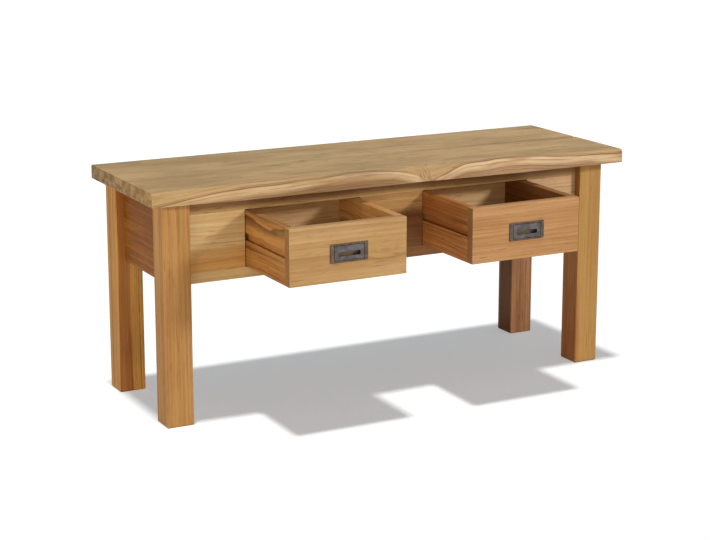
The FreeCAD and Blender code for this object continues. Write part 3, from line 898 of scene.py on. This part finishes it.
# How far the rings lie behind their straight course, from the left end of the seat to the right end: they
# come out on the top at the left, dip to the knot right of the middle and run straight again beyond it
course_places = (
    -0.45, -0.324, -0.216, -0.135, -0.076, -0.013, 0.018, 0.040, 0.063, 0.108, 0.180, 0.234, 0.306, 0.45,
)
course_shifts = (
    -0.006, -0.015, -0.012, -0.006, -0.001, 0.001, 0.008, 0.020, 0.017, 0.011, 0.003, -0.001, 0.0, -0.001,
)
course_reach = 0.075

# The crest of the natural edge, as its height above the underside along the seat: it rises from the lower
# left corner over a long hump, drops to the knot, rises over a second hump and settles towards the right end
crest_places = (
    -0.45, -0.41, -0.367, -0.298, -0.221, -0.143, -0.072, -0.015, 0.018, 0.037, 0.050, 0.076, 0.120, 0.162,
    0.206, 0.250, 0.294, 0.354, 0.45,
)
crest_heights = (
    -0.0020, 0.0050, 0.0118, 0.0187, 0.0203, 0.0242, 0.0272, 0.0234, 0.0172, 0.0092, -0.0020, 0.0070, 0.0228,
    0.0260, 0.0289, 0.0283, 0.0238, 0.0200, 0.0162,
)
crest_calm = 0.022
crest_reach = 0.030
layer_tilt = 0.22
fan_from = -0.46
fan_length = 0.16
fan_closest = 0.4

# The seat's wood. The knot shows on the edge and has its middle inside the front board.
knot_place = 0.047
front_pith = Vector((0.0, 0.030, 0.080))
front_knot = Vector((0.042, -0.060, 0.010))
front_seed = 61.0
rear_pith = (-0.030, -0.070)
rear_seed = 68.0
seat_figure = dict(
    drawn=True, end_marks=2.0, end_shade=0.28, Ring_Depth=0.20, Bands=0.4, Clouds=3.4, Streaks=0.7,
    Flecks=1.0, Marks=0.75, Patches=0.6,
)


def seat_stations(low, high):
    """Places along a seat board, closer together at its eased ends, each with how far it is eased."""
    places = []
    for turn in easing_turns:
        angle = turn * math.pi / 2
        inset = end_easing * (1 - math.sin(angle))
        places.append((low + end_easing * (1 - math.cos(angle)), inset))
    count = round((high - low) / station_gap)
    for i in range(1, count):
        places.append((low + (high - low) * i / count, 0.0))
    for place, inset in reversed(places[:len(easing_turns)]):
        places.append((low + high - place, inset))
    return places


def joint_share(x, right_end):
    """How far a place lies along the opened part of the joint, from 0 to 1."""
    return min(max((x - joint_open_from) / (right_end - joint_open_from), 0.0), 1.0)


def joint_gap(x, right_end):
    """How far the glued joint has opened at a place along the seat, with a chip at its right end."""
    unevenness = 0.8 + 0.4 * noise.noise(Vector((x * joint_waves, 3.0, 0.0)))
    opened = joint_opening * joint_share(x, right_end) ** joint_curve * unevenness
    chip = min(max(1 - (right_end - x) / chip_reach, 0.0), 1.0)
    return opened + chip_size * chip ** chip_curve


def between(places, values, x):
    """A value at a place on a smooth curve through values at known places."""
    last = len(places) - 1
    i = next((i for i in range(1, last) if x <= places[i]), last)
    span = places[i] - places[i - 1]
    share = min(max((x - places[i - 1]) / span, 0.0), 1.0)
    slopes = []
    for j in (i - 1, i):
        before, after = max(j - 1, 0), min(j + 1, last)
        slopes.append((values[after] - values[before]) / (places[after] - places[before]) * span)
    square, cube = share ** 2, share ** 3
    return (
        values[i - 1] * (2 * cube - 3 * square + 1) + slopes[0] * (cube - 2 * square + share)
        + values[i] * (3 * square - 2 * cube) + slopes[1] * (cube - square)
    )


def bark_layer(x, height):
    """How far a point lies above the crest of the natural edge. The lines open out from the left end, and
    settle to a straight course over the top of the seat."""
    crest = between(crest_places, crest_heights, x)
    settled = math.exp(-max(height - crest, 0.0) / crest_reach)
    opened = min(fan_closest + (1 - fan_closest) * (x - fan_from) / fan_length, 1.0)
    return (height - crest_calm - (crest - crest_calm) * settled) / opened


def joint_stain(x, y, joint, right_end):
    """How dark old dirt has made the wood beside the opened joint."""
    share = joint_share(x, right_end)
    return (0.25 + 0.75 * share) * (share > 0) * math.exp(-abs(y - joint) / stain_reach)


def bark_relief(x, z):
    """How far the natural edge lies in front of its smooth form, from its long fibres and small lumps."""
    lumps = noise.noise(Vector((x * lump_waves[0], z * lump_waves[1], 1.3)))
    fibres = noise.noise(Vector((x * fibre_waves[0] + z * fibre_slant, z * fibre_waves[1], 7.1)))
    return lump_height * lumps + fibre_height * fibres


def edge_finder(node):
    """A function that gives where the natural edge of a solid lies, at a place and a height."""
    mesh = cad_nodes[node].data
    tree = BVHTree.FromPolygons([v.co for v in mesh.vertices], [p.vertices for p in mesh.polygons])
    low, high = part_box(node)
    margin = 0.0001
    run_up = 0.1

    def edge_at(x, z):
        start = Vector((
            min(max(x, low[0] + margin), high[0] - margin),
            low[1] - run_up,
            min(max(z, low[2] + margin), high[2] - margin),
        ))
        return tree.ray_cast(start, Vector((0, 1, 0)))[0].y

    return edge_at


def seat_front():
    """The front seat board with its natural edge and its side of the opened joint."""
    node = "seat_board_front"
    low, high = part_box(node)
    edge_at = edge_finder(node)
    thickness = high[2] - low[2]
    y_middle, z_middle = (low[1] + high[1]) / 2, (low[2] + high[2]) / 2
    sections = []
    courses = []
    layers = []
    stains = []
    for x, inset in seat_stations(low[0], high[0]):
        gap = joint_gap(x, high[0])
        top = high[2] - inset
        section = [Vector((x, high[1], low[2] + inset)), Vector((x, y_middle, low[2] + inset))]
        foot = len(section)
        for share in edge_heights:
            z = low[2] + share * thickness
            y = edge_at(x, z) - bark_relief(x, z)
            z = min(max(z, low[2] + inset), top)
            if share == 1.0:
                z -= arris_drop
            section.append(Vector((x, y + inset, z)))
        arris = section[-1].y
        room = high[1] - arris
        for spread in top_spread:
            section.append(Vector((x, arris + spread * room / usual_depth, top)))
        section.append(Vector((x, high[1] - joint_land, top)))
        section.append(Vector((x, high[1] - gap - joint_least, top)))
        section.append(Vector((x, high[1], top - gap * joint_slope)))
        sections.append(section)
        shift = between(course_places, course_shifts, x)
        line = []
        layer_line = []
        for point in section:
            moved = shift * math.exp(-max(point.y - low[1], 0.0) / course_reach)
            line.append((x, point.y + moved - y_middle, point.z - z_middle))
            height = point.z - low[2] + layer_tilt * (point.y - section[foot].y)
            layer_line.append((x, bark_layer(x, height), height))
        courses.append(line)
        layers.append(layer_line)
        stains.append([joint_stain(x, point.y, high[1], high[0]) for point in section])
    board = plank("seat_front_plank", sections, {"grain_course": courses, "bark_layers": layers}, stains)
    smooth_within(board, crisp_angle)
    board.data.materials.append(timber(
        "wood_seat_front", None, "X", "seat", front_pith.yz, front_seed, knot_along=knot_place,
        Ring_Width=0.0060, Wander=0.020, Knot_Place=front_knot - front_pith, Knot_Reach=0.011, **seat_figure,
    ))
    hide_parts(node)
    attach(board, "frame")


def seat_rear():
    """The rear seat board, rounded along its straight rear edge, with the other side of the joint."""
    node = "seat_board_rear"
    low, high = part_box(node)
    middle = Vector((0.0, (low[1] + high[1]) / 2, (low[2] + high[2]) / 2))
    sections = []
    courses = []
    stains = []
    for x, inset in seat_stations(low[0], high[0]):
        gap = joint_gap(x, high[0])
        top = high[2] - inset
        section = [
            Vector((x, low[1], low[2] + inset)),
            Vector((x, low[1], top - gap * joint_slope)),
            Vector((x, low[1] + gap + joint_least, top)),
            Vector((x, low[1] + joint_land, top)),
        ]
        for i in range(1, top_strips):
            section.append(Vector((x, low[1] + (high[1] - low[1]) * i / top_strips, top)))
        radius = rear_rounding - inset
        for z_round, start in ((high[2] - rear_rounding, 90), (low[2] + rear_rounding, 0)):
            for i in range(rounding_steps + 1):
                angle = math.radians(start - 90 * i / rounding_steps)
                y = high[1] - rear_rounding + math.cos(angle) * radius
                section.append(Vector((x, y, z_round + math.sin(angle) * radius)))
        sections.append(section)
        courses.append([tuple(point - middle) for point in section])
        stains.append([joint_stain(x, point.y, low[1], high[0]) for point in section])
    board = plank("seat_rear_plank", sections, {"grain_course": courses}, stains)
    smooth_within(board, crisp_angle)
    board.data.materials.append(timber(
        "wood_seat_rear", None, "X", "seat", rear_pith, rear_seed,
        Ring_Width=0.0070, Wander=0.026, **seat_figure,
    ))
    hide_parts(node)
    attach(board, "frame")


def seen_directly(w):
    """1 for what is seen, straight on, mirrored or through glass, and 0 for the light that it gives."""
    path = w.node("LightPath")
    seen = w.math("MAXIMUM", path.outputs["Is Camera Ray"], path.outputs["Is Glossy Ray"])
    return w.math("MAXIMUM", seen, path.outputs["Is Transmission Ray"])


def pale_floor():
    """A white floor that keeps the shadow of the bench, lifted to the photograph's pale grey."""
    bm = bmesh.new()
    bmesh.ops.create_grid(bm, x_segments=1, y_segments=1, size=floor_half)
    mesh = bpy.data.meshes.new("studio_floor")
    bm.to_mesh(mesh)
    bm.free()
    floor = bpy.data.objects.new("studio_floor", mesh)
    bpy.context.scene.collection.objects.link(floor)
    material = bpy.data.materials.new("studio_floor")
    material.use_nodes = True
    material.node_tree.nodes.clear()
    w = Wiring(material.node_tree)
    paint = w.node("BsdfDiffuse")
    paint.inputs["Color"].default_value = (floor_tone, floor_tone, floor_tone, 1.0)
    lift = w.node("Emission")
    lift.inputs["Color"].default_value = floor_lift_tint
    w.feed(lift.inputs["Strength"], w.math("MULTIPLY", seen_directly(w), floor_lift))
    both = w.node("AddShader")
    w.feed(both.inputs[0], paint.outputs[0])
    w.feed(both.inputs[1], lift.outputs[0])
    w.feed(w.node("OutputMaterial").inputs["Surface"], both.outputs[0])
    mesh.materials.append(material)
    return floor


def room_light():
    """A white room that shows as white and lights the bench softly."""
    world = bpy.data.worlds.new("studio_room")
    world.use_nodes = True
    world.node_tree.nodes.clear()
    w = Wiring(world.node_tree)
    room = w.node("Background")
    w.feed(room.inputs["Strength"], w.math("MAXIMUM", seen_directly(w), room_level))
    w.feed(w.node("OutputWorld").inputs["Surface"], room.outputs[0])
    bpy.context.scene.world = world


def lamp(name, kind, place, aim):
    """A lamp at a place, turned to what it lights, that the camera doesn't see."""
    light = bpy.data.lights.new(name, kind)
    holder = bpy.data.objects.new(name, light)
    holder.location = place
    holder.rotation_euler = (Vector(aim) - Vector(place)).to_track_quat("-Z", "Y").to_euler()
    holder.visible_camera = False
    bpy.context.scene.collection.objects.link(holder)
    return holder


def panel_lamp(name, place, aim, size, level, colour, floor):
    """A square lamp panel that lights the bench and leaves the floor alone."""
    holder = lamp(name, "AREA", place, aim)
    distance = (Vector(aim) - Vector(place)).length
    holder.data.size = size
    holder.data.color = colour
    holder.data.energy = level * math.pi ** 2 * distance ** 2
    unlit = bpy.data.collections.new(name + "_leaves_out")
    unlit.objects.link(floor)
    unlit.collection_objects[0].light_linking.link_state = "EXCLUDE"
    holder.light_linking.receiver_collection = unlit


def studio():
    """The floor, the room, a lamp overhead, a key lamp at the right front and two soft warm fills."""
    floor = pale_floor()
    room_light()
    overhead = lamp("overhead_lamp", "SUN", overhead_place, (0.0, 0.0, 0.0))
    overhead.data.energy = overhead_level * math.pi
    overhead.data.angle = math.radians(overhead_spread)
    turn = math.radians(key_turn)
    rise = math.radians(key_rise)
    towards_key = Vector((
        math.sin(turn) * math.cos(rise), -math.cos(turn) * math.cos(rise), math.sin(rise),
    ))
    key_place = Vector(bench_middle) + towards_key * key_distance
    panel_lamp("key_lamp", key_place, bench_middle, key_size, key_level, white_light, floor)
    panel_lamp("front_lamp", front_place, bench_middle, front_size, front_level, warm_light, floor)
    panel_lamp("left_lamp", left_place, left_aim, left_size, left_level, amber_light, floor)


def photograph_camera():
    """The camera at the photograph's angle."""
    camera = bpy.data.cameras.new("camera")
    camera.lens = camera_lens
    camera.sensor_width = camera_sensor
    camera.sensor_fit = "HORIZONTAL"
    camera.shift_y = camera_rise
    camera.clip_end = camera_sees_to
    holder = bpy.data.objects.new("camera", camera)
    holder.location = camera_place
    holder.rotation_euler = (math.radians(90 - camera_dip), 0.0, math.radians(-camera_turn))
    bpy.context.scene.collection.objects.link(holder)
    bpy.context.scene.camera = holder


bpy.context.scene.view_settings.view_transform = "Standard"
photograph_camera()
studio()
dress_boards()
dress_metal()
seat_front()
seat_rear()
